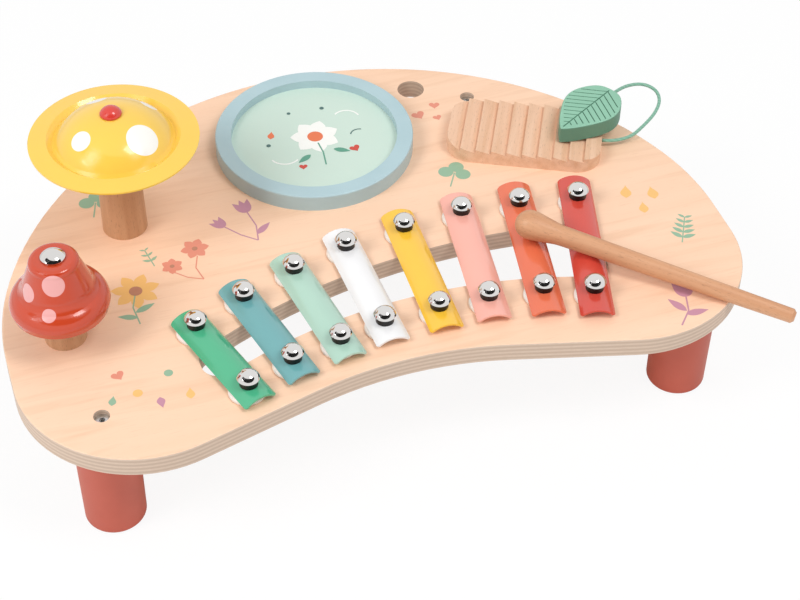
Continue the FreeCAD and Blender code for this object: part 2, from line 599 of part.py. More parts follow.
# Guiro: beech block, ten saw teeth planed across it
def build_guiro():
    block = Part.makeBox(GUIRO_LENGTH, GUIRO_WIDTH, GUIRO_HEIGHT, Vector(-GUIRO_LENGTH / 2, -GUIRO_WIDTH / 2, BOARD_TOP))
    block = block.makeFillet(GUIRO_CORNER_RADIUS, vertical_edges(block))
    pitch = GUIRO_LENGTH / GUIRO_TEETH
    cuts = []
    for tooth in range(GUIRO_TEETH):
        start = -GUIRO_LENGTH / 2 + tooth * pitch
        corners = [Vector(start, -GUIRO_WIDTH, GUIRO_TOP), Vector(start + pitch, -GUIRO_WIDTH, GUIRO_TOP),
                   Vector(start + pitch, -GUIRO_WIDTH, GUIRO_TOP - GUIRO_TOOTH_DEPTH)]
        wedge = Part.Face(Part.makePolygon(corners + corners[:1]))
        cuts.append(wedge.extrude(Vector(0, 2 * GUIRO_WIDTH, 0)))
    block = block.cut(cuts)
    block.rotate(Vector(0, 0, 0), UP, GUIRO_ANGLE)
    block.translate(Vector(GUIRO_CENTRE[0], GUIRO_CENTRE[1], 0))
    tips = [cylinder(s, WOOD_SCREW_RADIUS, BOARD_TOP - 1, LEG_LENGTH + GUIRO_SCREW_LENGTH + 0.5)
            for s in guiro_screw_spots()]
    along = guiro_spot(1, 0, 0) - guiro_spot(0, 0, 0)
    mouth = guiro_spot(GUIRO_LENGTH / 2, CORD_ACROSS_GUIRO, BOARD_TOP + CORD_SOCKET_HEIGHT)
    tips.append(Part.makeCylinder(CORD_HOLE_RADIUS, CORD_HOLE_DEPTH + 2, mouth + along * 2, along * -1))
    pieces["guiro"] = block.cut(tips)
    pieces["guiro_screws"] = Part.makeCompound([wood_screw(s, GUIRO_SCREW_LENGTH) for s in guiro_screw_spots()])


# Leaf scraper: sawn and painted beech with veins cut into its face
def leaf_half_width(x):
    return LEAF_HALF_WIDTH * math.sin(math.pi * min(1.0, max(0.0, x) / (LEAF_LENGTH + 3)) ** 1.25)


def build_leaf():
    edges = []
    for side in (1, -1):
        half = side * LEAF_HALF_WIDTH
        curve = Part.BSplineCurve()
        curve.interpolate([Vector(0, 0, 0), Vector(LEAF_WIDEST * 0.44, half * 0.64, 0), Vector(LEAF_WIDEST, half, 0),
                           Vector(LEAF_LENGTH - 4.3, half * 0.64, 0), Vector(LEAF_LENGTH, 0, 0)],
                          InitialTangent=Vector(1, side * 1.15, 0), FinalTangent=Vector(0, -side, 0))
        edges.append(curve.toShape())
    leaf = prism(edges, LEAF_BOTTOM, LEAF_BOTTOM + LEAF_THICKNESS)
    leaf = leaf.makeFillet(LEAF_EDGE_ROUND, level_edges(leaf, LEAF_BOTTOM + LEAF_THICKNESS))
    floor = LEAF_BOTTOM + LEAF_THICKNESS - LEAF_GROOVE_DEPTH
    rib_start = 2.5
    grooves = [Part.makeBox(LEAF_LENGTH - rib_start - 2, LEAF_GROOVE, 2, Vector(rib_start, -LEAF_GROOVE / 2, floor))]
    slant = math.radians(LEAF_VEIN_ANGLE)
    first_vein = LEAF_LENGTH * 0.17
    spacing = (LEAF_LENGTH * 0.93 - first_vein) / (LEAF_VEINS - 1)
    for vein in range(LEAF_VEINS):
        place = first_vein + vein * spacing
        length = 1.0
        while length * math.sin(slant) < leaf_half_width(place - length * math.cos(slant)) - LEAF_VEIN_MARGIN:
            length += 0.25
        for side in (1, -1):
            groove = Part.makeBox(length, LEAF_GROOVE * 0.8, 2, Vector(0, -LEAF_GROOVE * 0.4, floor))
            groove.rotate(Vector(0, 0, 0), UP, side * (180 - LEAF_VEIN_ANGLE))
            groove.translate(Vector(place, 0, 0))
            grooves.append(groove)
    leaf = leaf.cut(grooves)
    height = LEAF_BOTTOM + LEAF_THICKNESS / 2
    hole = Part.makeCylinder(CORD_HOLE_RADIUS, CORD_HOLE_DEPTH + 2, Vector(LEAF_LENGTH + 2, 0, height), Vector(-1, 0, 0))
    leaf = leaf.cut(hole)
    leaf.rotate(Vector(0, 0, 0), UP, LEAF_ANGLE)
    leaf.translate(Vector(LEAF_TIP[0], LEAF_TIP[1], 0))
    pieces["leaf_scraper"] = leaf


# Mallet: one turned beech stick with a round head, lying on the longest bar and the board edge
def mallet_radius(reach):
    neck = MALLET_HEAD_LENGTH - MALLET_HEAD_RADIUS
    end = MALLET_LENGTH - MALLET_HEAD_RADIUS
    return MALLET_HANDLE_RADIUS + (MALLET_END_RADIUS - MALLET_HANDLE_RADIUS) * (reach - neck) / (end - neck)


def mallet_drop():
    on_bar = BAR_CROWN + mallet_radius(MALLET_BAR_REACH) + LIE_GAP
    on_edge = BOARD_TOP + mallet_radius(MALLET_EDGE_REACH) + LIE_GAP
    slope = (on_bar - on_edge) / (MALLET_EDGE_REACH - MALLET_BAR_REACH)
    high = max(on_bar + slope * MALLET_BAR_REACH, BAR_CROWN + MALLET_HEAD_RADIUS + LIE_GAP)
    return high, math.degrees(math.atan(slope))


def build_mallet():
    nose = MALLET_HEAD_RADIUS
    head_back = MALLET_HEAD_LENGTH - nose
    end = MALLET_LENGTH - nose
    round_off = 1.6
    tip = Vector(0, 0, -nose)
    side = Vector(MALLET_HEAD_RADIUS, 0, 0)
    corner = Vector(MALLET_HEAD_RADIUS * math.sqrt(0.5), 0, -nose * math.sqrt(0.5))
    neck = Vector(MALLET_HANDLE_RADIUS, 0, head_back)
    curve = Part.BSplineCurve()
    curve.interpolate([side, Vector(MALLET_HEAD_RADIUS - 0.7, 0, head_back * 0.33),
                       Vector(MALLET_HANDLE_RADIUS + 0.5, 0, head_back * 0.72), neck],
                      InitialTangent=Vector(0, 0, 1), FinalTangent=Vector(0, 0, 1))
    last = Vector(MALLET_END_RADIUS, 0, end - round_off)
    edges = [
        Part.Arc(tip, corner, side).toShape(),
        curve.toShape(),
        line(neck, last),
        line(last, Vector(MALLET_END_RADIUS - round_off, 0, end)),
        line(Vector(MALLET_END_RADIUS - round_off, 0, end), Vector(0, 0, end)),
        line(Vector(0, 0, end), tip),
    ]
    mallet = turned(edges, (0, 0))
    high, slope = mallet_drop()
    mallet.rotate(Vector(0, 0, 0), Vector(0, 1, 0), 90 + slope)
    mallet.rotate(Vector(0, 0, 0), UP, MALLET_DIRECTION)
    mallet.translate(Vector(MALLET_HEAD_AT[0], MALLET_HEAD_AT[1], high))
    pieces["mallet"] = mallet


# Cord from the guiro to the leaf, its route chosen by hand
def cord_route():
    start = guiro_spot(GUIRO_LENGTH / 2, CORD_ACROSS_GUIRO, BOARD_TOP + CORD_SOCKET_HEIGHT)
    along = guiro_spot(1, 0, 0) - guiro_spot(0, 0, 0)
    lead = start + along * 6
    leaf_turn = math.radians(LEAF_ANGLE)
    out = Vector(math.cos(leaf_turn), math.sin(leaf_turn), 0)
    finish = Vector(LEAF_TIP[0], LEAF_TIP[1], LEAF_BOTTOM + LEAF_THICKNESS / 2) + out * (LEAF_LENGTH + LIE_GAP)
    last = finish + out * 7
    middle = [(176.5, 84.0, 4.0), (187.5, 91.0, 4.2), (198.0, 98.5, 5.0), (205.2, 107.0, 6.4),
              (206.4, 115.5, 8.0), (200.6, 121.4, 9.8), (190.6, 120.6, 12.0)]
    route = [start, lead]
    for x, y, height in middle:
        route.append(Vector(x, y, BOARD_TOP + height))
    route += [last, finish]
    return route


def build_cord():
    route = cord_route()
    edges = []
    here = route[0]
    radii = []
    for before, corner, after in zip(route, route[1:], route[2:]):
        run_in = corner - before
        run_out = after - corner
        shorter = min(run_in.Length, run_out.Length)
        turn = run_in.getAngle(run_out)
        cut = 0.45 * shorter
        radii.append(cut / math.tan(turn / 2))
        start = corner - run_in.normalize() * cut
        finish = corner + run_out.normalize() * cut
        bisector = (start + finish) * 0.5 - corner
        depth = radii[-1] / math.cos(turn / 2) - radii[-1]
        middle = corner + bisector.normalize() * depth
        edges.append(line(here, start))
        edges.append(Part.Arc(start, middle, finish).toShape())
        here = finish
    edges.append(line(here, route[-1]))
    path = Part.Wire(edges)
    section = Part.Wire(Part.makeCircle(CORD_RADIUS, route[0], route[1] - route[0]))
    tube = path.makePipeShell([section], True, False, 2)
    pieces["leaf_cord"] = tube
    expected = math.pi * CORD_RADIUS ** 2 * path.Length
    print("cord radii", [round(r, 1) for r in radii])
    print("cord length", round(path.Length, 2), "volume ratio", round(tube.Volume / expected, 4))


def main():
    build_board()
    build_legs()
    for index in range(len(BAR_COLOURS)):
        build_bar(index)
    build_nails_and_pads()
    build_drum()
    build_posts()
    build_cymbal()
    build_bell()
    build_guiro()
    build_leaf()
    build_mallet()
    build_cord()
    solid_pieces = [shape for name, shape in pieces.items() if name != "leaf_cord"]
    box = Part.makeCompound(solid_pieces).optimalBoundingBox(False, False)
    shift = Vector(-box.Center.x, -box.Center.y, 0)
    print("shift", round(shift.x, 3), round(shift.y, 3), "size", round(box.XLength, 2), round(box.YLength, 2),
          round(box.ZLength, 2), "bottom", round(box.ZMin, 4))
    os.makedirs("parts", exist_ok=True)
    for name, shape in pieces.items():
        shape.translate(shift)
        shape.exportStep("parts/" + name + ".step")
        if not shape.isValid():
            print("not valid", name)


main()
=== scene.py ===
import math

import bmesh
import bpy
from mathutils import Matrix, Vector


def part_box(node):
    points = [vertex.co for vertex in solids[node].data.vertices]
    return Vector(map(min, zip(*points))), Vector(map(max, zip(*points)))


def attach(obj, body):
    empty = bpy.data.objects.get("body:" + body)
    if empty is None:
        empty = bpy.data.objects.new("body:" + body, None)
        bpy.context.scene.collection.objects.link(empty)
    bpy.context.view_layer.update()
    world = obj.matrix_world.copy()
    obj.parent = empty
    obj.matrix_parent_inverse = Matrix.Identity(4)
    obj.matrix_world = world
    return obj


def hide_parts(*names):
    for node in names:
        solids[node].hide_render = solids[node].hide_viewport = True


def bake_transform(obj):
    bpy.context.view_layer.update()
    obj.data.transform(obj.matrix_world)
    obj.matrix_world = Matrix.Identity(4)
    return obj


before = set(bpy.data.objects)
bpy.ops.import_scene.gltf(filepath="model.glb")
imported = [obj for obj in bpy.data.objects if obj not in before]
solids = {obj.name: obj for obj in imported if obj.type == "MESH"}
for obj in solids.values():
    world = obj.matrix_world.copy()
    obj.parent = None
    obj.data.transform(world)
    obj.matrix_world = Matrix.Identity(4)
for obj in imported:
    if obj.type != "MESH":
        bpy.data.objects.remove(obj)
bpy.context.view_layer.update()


# Legs: four turned beech legs, 62 mm tall, that narrow a little towards the floor.
# A sprayed satin water paint covers them evenly, with soft clouds where the wood drinks more of it
# and the fine tooth of the turning under it. Each is drawn up to the board by one bolt from above.
def colour(text):
    parts = [int(text[i:i + 2], 16) / 255 for i in (1, 3, 5)]
    return [c / 12.92 if c <= 0.04045 else ((c + 0.055) / 1.055) ** 2.4 for c in parts] + [1.0]


def add(tree, kind, inputs=None, **settings):
    made = tree.nodes.new(kind)
    for name, value in settings.items():
        setattr(made, name, value)
    for name, value in (inputs or {}).items():
        if isinstance(value, bpy.types.NodeSocket):
            tree.links.new(value, made.inputs[name])
        else:
            made.inputs[name].default_value = value
    return made


def new_finish(name):
    finish = bpy.data.materials.new(name)
    finish.use_nodes = True
    tree = finish.node_tree
    tree.nodes.clear()
    shader = add(tree, "ShaderNodeBsdfPrincipled")
    add(tree, "ShaderNodeOutputMaterial", {"Surface": shader.outputs[0]})
    place = add(tree, "ShaderNodeTexCoord").outputs["Object"]
    return finish, tree, shader, place


def set_shader(tree, shader, **values):
    for name, value in values.items():
        socket = shader.inputs[name.replace("_", " ")]
        if isinstance(value, bpy.types.NodeSocket):
            tree.links.new(value, socket)
        else:
            socket.default_value = value


def dress(node, finish):
    mesh = solids[node].data
    mesh.materials.clear()
    mesh.materials.append(finish)


def painted_wood(name, main, worn, gloss=0.42):
    # A pattern's size is a run in millimetres over the count in it: nine clouds in 200 mm.
    # The real tooth is finer and wouldn't show.
    cloud_mm, tooth_mm = 200 / 9, 0.6
    finish, tree, shader, place = new_finish(name)
    cloud = add(tree, "ShaderNodeTexNoise", {"Vector": place, "Scale": 1000 / cloud_mm, "Detail": 3.0})
    tone = add(tree, "ShaderNodeMapRange", {"Value": cloud.outputs[0], "From Min": 0.35, "From Max": 0.7,
                                            "To Min": 0.0, "To Max": 0.55})
    mix = add(tree, "ShaderNodeMix", {"Factor": tone.outputs[0], "A": colour(main), "B": colour(worn)},
              data_type="RGBA")
    tooth = add(tree, "ShaderNodeTexNoise", {"Vector": place, "Scale": 1000 / tooth_mm, "Detail": 2.0})
    bump = add(tree, "ShaderNodeBump", {"Height": tooth.outputs[0], "Strength": 0.10, "Distance": 0.0002})
    set_shader(tree, shader, Base_Color=mix.outputs["Result"], Roughness=gloss, Normal=bump.outputs[0])
    return finish


coral_paint = painted_wood("satin_coral_paint_on_beech", "#c15944", "#b44e39")
for leg in ("leg_front_left", "leg_front_right", "leg_rear_left", "leg_rear_right"):
    dress(leg, coral_paint)


# Board: 12 mm birch plywood, routed to shape, sanded and sealed with a thin clear lacquer.
# The face veneer is pale, with a straight grain in faint bands about 7 mm apart and short dark flecks.
# The cut edge shows nine glued layers, 2.67 mm for a light and a dark one. The drum's hoop is the same ply.
def birch_plywood(name, ink=None, cover=0.0):
    # The grain is measured in runs: the bands repeat 2.4 times in one, the slow drift of tone 0.6 times.
    run_along_mm, run_across_mm, bands_in_run, drift_in_run = 200, 50 / 3, 2.4, 0.6
    # Real flecks are finer; these are as coarse as they need to be to show.
    fleck_along_mm, fleck_across_mm = 100 / 9, 2 / 3
    grain_turn = math.radians(-4)
    finish, tree, shader, place = new_finish(name)
    stretch = add(tree, "ShaderNodeMapping", {"Vector": place, "Rotation": (0, 0, grain_turn),
                                              "Scale": (1000 / run_along_mm, 1000 / run_across_mm,
                                                        1000 / run_across_mm)})
    wander = add(tree, "ShaderNodeTexNoise", {"Vector": stretch.outputs[0], "Scale": drift_in_run,
                                              "Detail": 2.0, "Distortion": 1.2})
    band = add(tree, "ShaderNodeTexNoise", {"Vector": stretch.outputs[0], "Scale": bands_in_run,
                                            "Detail": 6.0, "Distortion": 0.8})
    fleck_place = add(tree, "ShaderNodeMapping", {"Vector": place,
                                                  "Scale": (1000 / fleck_along_mm, 1000 / fleck_across_mm,
                                                            1000 / fleck_across_mm)})
    fleck = add(tree, "ShaderNodeTexNoise", {"Vector": fleck_place.outputs[0], "Scale": 1.0, "Detail": 2.0})
    base = add(tree, "ShaderNodeMix", {"Factor": wander.outputs[0], "A": colour("#fcd8bb"), "B": colour("#f6cbab")},
               data_type="RGBA")
    band_tone = add(tree, "ShaderNodeMapRange", {"Value": band.outputs[0], "From Min": 0.5, "From Max": 0.72,
                                                 "To Min": 0.0, "To Max": 0.42})
    banded = add(tree, "ShaderNodeMix", {"Factor": band_tone.outputs[0], "A": base.outputs["Result"],
                                         "B": colour("#e6b894")}, data_type="RGBA")
    fleck_tone = add(tree, "ShaderNodeMapRange", {"Value": fleck.outputs[0], "From Min": 0.6, "From Max": 0.75,
                                                  "To Min": 0.0, "To Max": 0.28})
    face = add(tree, "ShaderNodeMix", {"Factor": fleck_tone.outputs[0], "A": banded.outputs["Result"],
                                       "B": colour("#d9a988")}, data_type="RGBA")
    if ink is None:
        layer_pair_mm, fibre_mm, fibre_deep_mm = 2.67, 2.0, 0.4
        height = add(tree, "ShaderNodeSeparateXYZ", {"Vector": place}).outputs["Z"]
        layer = add(tree, "ShaderNodeMath", {0: height, 1: 1000 / layer_pair_mm}, operation="MULTIPLY")
        tooth = add(tree, "ShaderNodeMath", {0: layer.outputs[0], 1: 1.0}, operation="MODULO")
        swing = add(tree, "ShaderNodeMath", {0: tooth.outputs[0], 1: 0.5}, operation="SUBTRACT")
        away = add(tree, "ShaderNodeMath", {0: swing.outputs[0]}, operation="ABSOLUTE")
        stripe = add(tree, "ShaderNodeMapRange", {"Value": away.outputs[0], "From Min": 0.21, "From Max": 0.29},
                     interpolation_type="SMOOTHSTEP")
        fibre_place = add(tree, "ShaderNodeMapping", {"Vector": place,
                                                      "Scale": (1000 / fibre_mm, 1000 / fibre_mm,
                                                                1000 / fibre_deep_mm)})
        fibre = add(tree, "ShaderNodeTexNoise", {"Vector": fibre_place.outputs[0], "Scale": 1.0, "Detail": 3.0})
        edge = add(tree, "ShaderNodeMix", {"Factor": stripe.outputs[0], "A": colour("#e2cdb9"),
                                           "B": colour("#c5ac96")}, data_type="RGBA")
        worn = add(tree, "ShaderNodeMix", {"Factor": fibre.outputs[0], "A": edge.outputs["Result"],
                                           "B": colour("#cbb29e")}, data_type="RGBA")
        facing = add(tree, "ShaderNodeSeparateXYZ", {"Vector": add(tree, "ShaderNodeTexCoord").outputs["Normal"]})
        level = add(tree, "ShaderNodeMath", {0: facing.outputs["Z"]}, operation="ABSOLUTE")
        is_face = add(tree, "ShaderNodeMapRange", {"Value": level.outputs[0], "From Min": 0.55, "From Max": 0.8})
        result = add(tree, "ShaderNodeMix", {"Factor": is_face.outputs[0], "A": worn.outputs["Result"],
                                             "B": face.outputs["Result"]}, data_type="RGBA")
    else:
        result = add(tree, "ShaderNodeMix", {"Factor": cover, "A": face.outputs["Result"], "B": colour(ink)},
                     data_type="RGBA")
    bump = add(tree, "ShaderNodeBump", {"Height": fleck.outputs[0], "Strength": 0.12, "Distance": 0.0002})
    set_shader(tree, shader, Base_Color=result.outputs["Result"], Roughness=0.5, Normal=bump.outputs[0])
    return finish


birch = birch_plywood("lacquered_birch_plywood")
dress("tabletop", birch)
dress("drum_hoop", birch)


# Bolts, inserts and wood screws: zinc-plated steel, the leg bolts sunk below the board's face.
# The plating over turned steel is bright but soft, and its roughness varies from spot to spot.
def plated_steel(name, tint, rough):
    # Coarser than the plating's real grain, which wouldn't show.
    speck_mm = 5 / 9
    finish, tree, shader, place = new_finish(name)
    speck = add(tree, "ShaderNodeTexNoise", {"Vector": place, "Scale": 1000 / speck_mm, "Detail": 2.0})
    spread = add(tree, "ShaderNodeMapRange", {"Value": speck.outputs[0], "To Min": rough * 0.7,
                                              "To Max": rough * 1.4})
    set_shader(tree, shader, Base_Color=colour(tint), Metallic=1.0, Roughness=spread.outputs[0])
    return finish


zinc = plated_steel("zinc_plated_steel", "#d2d3d2", 0.2)
for hardware in ("leg_bolts", "leg_inserts", "drum_screws", "guiro_screws", "post_screws"):
    dress(hardware, zinc)


# Chime bars: 1.1 mm sheet steel rolled to a shallow arch, one colour and 5 mm of length for each note.
# Sprayed stoving enamel is smooth and glossy under a clear coat, with a faint orange peel 1.4 mm across.
def enamel(name, tint, spots=(), spot_tint="#ffffff"):
    cloud_mm, peel_mm, spot_edge = 50 / 3, 10 / 7, 0.0001
    finish, tree, shader, place = new_finish(name)
    base = colour(tint)
    cloud = add(tree, "ShaderNodeTexNoise", {"Vector": place, "Scale": 1000 / cloud_mm, "Detail": 2.0})
    result = add(tree, "ShaderNodeMix", {"Factor": cloud.outputs[0], "A": [c * 0.97 for c in base[:3]] + [1.0],
                                         "B": [min(1.0, c * 1.03) for c in base[:3]] + [1.0]},
                 data_type="RGBA").outputs["Result"]
    for centre, radius in spots:
        reach = add(tree, "ShaderNodeVectorMath", {0: place, 1: centre}, operation="DISTANCE")
        inside = add(tree, "ShaderNodeMapRange", {"Value": reach.outputs["Value"], "From Min": radius - spot_edge,
                                                  "From Max": radius + spot_edge, "To Min": 1.0, "To Max": 0.0})
        result = add(tree, "ShaderNodeMix", {"Factor": inside.outputs[0], "A": result, "B": colour(spot_tint)},
                     data_type="RGBA").outputs["Result"]
    peel = add(tree, "ShaderNodeTexNoise", {"Vector": place, "Scale": 1000 / peel_mm, "Detail": 1.0})
    bump = add(tree, "ShaderNodeBump", {"Height": peel.outputs[0], "Strength": 0.03, "Distance": 0.0002})
    set_shader(tree, shader, Base_Color=result, Roughness=0.2, Coat_Weight=0.5, Coat_Roughness=0.06,
               Normal=bump.outputs[0])
    return finish


bar_tints = {"green": "#4db488", "blue": "#6daaad", "mint": "#b0d4c3", "white": "#f2f2f3",
             "yellow": "#fbc63c", "pink": "#f8b3a3", "orange": "#e8724e", "red": "#d44a3c"}
for tone, tint in bar_tints.items():
    dress("bar_" + tone, enamel("spray_enamel_" + tone, tint))


# Pads: moulded soft plastic discs, 2.4 mm thick with rolled edges, that keep the bars off the wood.
# Each has a boss that fills the bar's arch, so a nail can hold the bar without pressing it flat.
# The plastic is milky: light goes a few millimetres into it, and its skin has an uneven satin.
rear_nails = [(-103.34, -53.672), (-74.04, -40.172), (-43.14, -28.172), (-11.24, -19.372),
              (23.66, -14.572), (58.26, -11.472), (91.46, -14.472), (124.56, -19.672)]
front_nails = [(-88.04, -102.472), (-61.94, -92.072), (-34.44, -85.972), (-8.74, -80.472),
               (21.86, -78.972), (49.56, -79.672), (79.36, -82.972), (105.06, -91.472)]
# Offset from the nail towards the bar's left, radius and height of each ring, in millimetres.
pad_profile = [(1.0, 9.3, 74.02), (1.0, 9.8, 74.4), (1.0, 9.9, 75.2), (1.0, 9.7, 75.9), (1.0, 9.2, 76.3),
               (0.9, 8.4, 76.4), (0.0, 5.0, 76.4), (0.0, 4.6, 76.8), (0.0, 4.5, 78.3)]
pad_sides = 40
pads = bmesh.new()
for x, y in rear_nails + front_nails:
    rings = []
    for offset, radius, height in pad_profile:
        rings.append([pads.verts.new(((x - offset + radius * math.cos(a)) / 1000, (y + radius * math.sin(a)) / 1000,
                                      height / 1000)) for a in (math.tau * k / pad_sides for k in range(pad_sides))])
    for low, high in zip(rings, rings[1:]):
        for k in range(pad_sides):
            after = (k + 1) % pad_sides
            pads.faces.new((low[k], low[after], high[after], high[k]))
    pads.faces.new(list(reversed(rings[0])))
    pads.faces.new(rings[-1])
pad_mesh = bpy.data.meshes.new("soft_pads")
pads.normal_update()
pads.to_mesh(pad_mesh)
pad_mesh.shade_smooth()
soft_pads = bpy.data.objects.new("soft_pads", pad_mesh)
bpy.context.scene.collection.objects.link(soft_pads)
pad_plastic, tree, shader, place = new_finish("moulded_milky_soft_plastic")
haze_mm = 10 / 3
haze = add(tree, "ShaderNodeTexNoise", {"Vector": place, "Scale": 1000 / haze_mm, "Detail": 2.0})
haze_rough = add(tree, "ShaderNodeMapRange", {"Value": haze.outputs[0], "To Min": 0.3, "To Max": 0.45})
milk = add(tree, "ShaderNodeMix", {"Factor": haze.outputs[0], "A": colour("#ece0d6"), "B": colour("#f6ece3")},
           data_type="RGBA")
set_shader(tree, shader, Base_Color=milk.outputs["Result"], Roughness=haze_rough.outputs[0], Subsurface_Weight=0.5,
           Subsurface_Radius=(0.003, 0.003, 0.003), Subsurface_Scale=1.0, IOR=1.5)
pad_mesh.materials.append(pad_plastic)
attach(soft_pads, "table")
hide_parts("bar_pads")


# Nails: domed nails with a bright nickel cap over a dull collar, one through each end of a bar.
# The polished cap mirrors the room; the collar's dark grey is painted shade and a painted dark reflection,
# so it reads as a dark line under the cap.
collar_top, tarnish_mm = 0.08495, 10 / 9
nail_finish, tree, shader, place = new_finish("nickel_cap_over_painted_shade_collar")
height = add(tree, "ShaderNodeSeparateXYZ", {"Vector": place}).outputs["Z"]
painted_shade_collar = add(tree, "ShaderNodeMath", {0: height, 1: collar_top}, operation="LESS_THAN")
tarnish = add(tree, "ShaderNodeTexNoise", {"Vector": place, "Scale": 1000 / tarnish_mm, "Detail": 2.0})
cap_rough = add(tree, "ShaderNodeMapRange", {"Value": tarnish.outputs[0], "To Min": 0.03, "To Max": 0.09})
# Below the collar's top the nickel is painted dark grey: painted shade and dark reflection, not the metal's colour.
nail_tone = add(tree, "ShaderNodeMix", {"Factor": painted_shade_collar.outputs[0], "A": colour("#dedcda"), "B": colour("#3b3a3a")},
                data_type="RGBA")
nail_rough = add(tree, "ShaderNodeMix", {"Factor": painted_shade_collar.outputs[0], "A": cap_rough.outputs[0], "B": 0.35})
set_shader(tree, shader, Base_Color=nail_tone.outputs["Result"], Metallic=1.0, Roughness=nail_rough.outputs[0])
dress("bar_nails", nail_finish)


# Drum: a ring routed from plywood and painted in satin blue, screwed on from under the board.
# Its skin is a 0.5 mm polyester film glued on a ply hoop; it is pale and satin, with a very soft mottle.
dress("drum_ring", painted_wood("satin_blue_paint_on_plywood", "#b2ccd2", "#a8c3ca"))
mottle_mm = 40
skin_film, tree, shader, place = new_finish("satin_polyester_film")
mottle = add(tree, "ShaderNodeTexNoise", {"Vector": place, "Scale": 1000 / mottle_mm, "Detail": 2.0})
film_tone = add(tree, "ShaderNodeMix", {"Factor": mottle.outputs[0], "A": colour("#c9ded1"), "B": colour("#cfe2d6")},
                data_type="RGBA")
set_shader(tree, shader, Base_Color=film_tone.outputs["Result"], Roughness=0.38)
dress("drum_skin", skin_film)


# Posts: two turned beech posts, the cymbal's tall and straight, the bell's low with a wide foot.
# Each is held by a screw from under the board. Oiled beech is a warm brown with streaks along the turning
# and the short dark rays, about 3 mm long, that tell beech from other woods.
def beech(name, pale, dark, along, gloss=0.45):
    streak_along_mm, streak_across_mm = 250 / 3, 50 / 13
    ray_along_mm, ray_across_mm = 20 / 7, 5 / 12
    finish, tree, shader, place = new_finish(name)
    turn = Vector((1, 0, 0)).rotation_difference(Vector(along)).to_euler()
    lie = add(tree, "ShaderNodeMapping", {"Vector": place, "Rotation": turn}, vector_type="TEXTURE")
    streak_place = add(tree, "ShaderNodeMapping", {"Vector": lie.outputs[0],
                                                   "Scale": (1000 / streak_along_mm, 1000 / streak_across_mm,
                                                             1000 / streak_across_mm)})
    streak = add(tree, "ShaderNodeTexNoise", {"Vector": streak_place.outputs[0], "Scale": 1.0, "Detail": 4.0})
    ray_place = add(tree, "ShaderNodeMapping", {"Vector": lie.outputs[0],
                                                "Scale": (1000 / ray_along_mm, 1000 / ray_across_mm,
                                                          1000 / ray_across_mm)})
    ray = add(tree, "ShaderNodeTexNoise", {"Vector": ray_place.outputs[0], "Scale": 1.0, "Detail": 1.0})
    tone = add(tree, "ShaderNodeMapRange", {"Value": streak.outputs[0], "From Min": 0.35, "From Max": 0.68})
    mix = add(tree, "ShaderNodeMix", {"Factor": tone.outputs[0], "A": colour(pale), "B": colour(dark)},
              data_type="RGBA")
    mark = add(tree, "ShaderNodeMapRange", {"Value": ray.outputs[0], "From Min": 0.62, "From Max": 0.72,
                                            "To Min": 0.0, "To Max": 0.45})
    flecked = add(tree, "ShaderNodeMix", {"Factor": mark.outputs[0], "A": mix.outputs["Result"],
                                          "B": [c * 0.55 for c in colour(dark)[:3]] + [1.0]}, data_type="RGBA")
    bump = add(tree, "ShaderNodeBump", {"Height": streak.outputs[0], "Strength": 0.1, "Distance": 0.0002})
    set_shader(tree, shader, Base_Color=flecked.outputs["Result"], Roughness=gloss, Normal=bump.outputs[0])
    return finish


post_beech = beech("oiled_beech_posts", "#d0a17b", "#c2906a", (0, 0, 1))
dress("cymbal_stem", post_beech)
dress("bell_post", post_beech)


# Washers: pressed wool felt under the cymbal and the bell, so they ring freely and don't grind on the posts.
# Felt is matt, with a fuzz of short fibres that catches light at its edge.
# Real wool fibres are finer; this fuzz is as coarse as it needs to be to show.
fuzz_mm = 0.4
felt, tree, shader, place = new_finish("pressed_wool_felt")
fuzz = add(tree, "ShaderNodeTexNoise", {"Vector": place, "Scale": 1000 / fuzz_mm, "Detail": 3.0})
fuzz_tone = add(tree, "ShaderNodeMix", {"Factor": fuzz.outputs[0], "A": colour("#d8d0c2"), "B": colour("#f2ece0")},
                data_type="RGBA")
fuzz_bump = add(tree, "ShaderNodeBump", {"Height": fuzz.outputs[0], "Strength": 0.6, "Distance": 0.0003})
set_shader(tree, shader, Base_Color=fuzz_tone.outputs["Result"], Roughness=0.95, Sheen_Weight=0.4,
           Normal=fuzz_bump.outputs[0])
dress("cymbal_washer", felt)
dress("bell_washer", felt)


# Cymbal: a spun steel dish with a wide flat brim, a groove and a dome, enamelled yellow.
# It is as glossy as the bars, and its polka dots are printed on the dome under the clear coat.
# The last two white spots, on the dome's far slope, sit where the softboxes' highlights fall:
# they are painted highlights as well as dots.
# A red moulded screw holds it. Each spot has its centre on the sheet and its radius, in metres.
cymbal_dots_and_highlights = [((-0.1399, 0.0300, 0.1472), 0.0057), ((-0.1086, 0.0221, 0.1466), 0.0089),
               ((-0.0987, 0.0522, 0.1443), 0.0050), ((-0.1254, 0.0608, 0.1476), 0.0058)]
dress("cymbal", enamel("cymbal_enamel_yellow", "#f7ca4e", cymbal_dots_and_highlights, "#f6f4ee"))
dress("cymbal_cap_screw", enamel("moulded_red_abs", "#d63a2f"))


# Bell: a pressed steel bell with a rolled lip, enamelled red, with pale pink polka dots under the coat.
# The curved wall mirrors the softboxes as narrow bands. A polished nickel dome screw holds it on its post.
bell_dots = [((-0.1719, -0.0484, 0.1234), 0.0058), ((-0.1768, -0.0533, 0.1087), 0.0036),
             ((-0.1845, -0.0410, 0.1157), 0.0049), ((-0.1532, -0.0262, 0.1140), 0.0056),
             ((-0.1640, -0.0165, 0.1235), 0.0042), ((-0.1805, -0.0185, 0.1105), 0.0060),
             ((-0.1560, -0.0140, 0.1060), 0.0038)]
dress("bell", enamel("bell_enamel_red", "#c6421f", bell_dots, "#eaa9a6"))
dress("bell_dome_screw", plated_steel("bright_nickel_plate", "#dcdad8", 0.05))


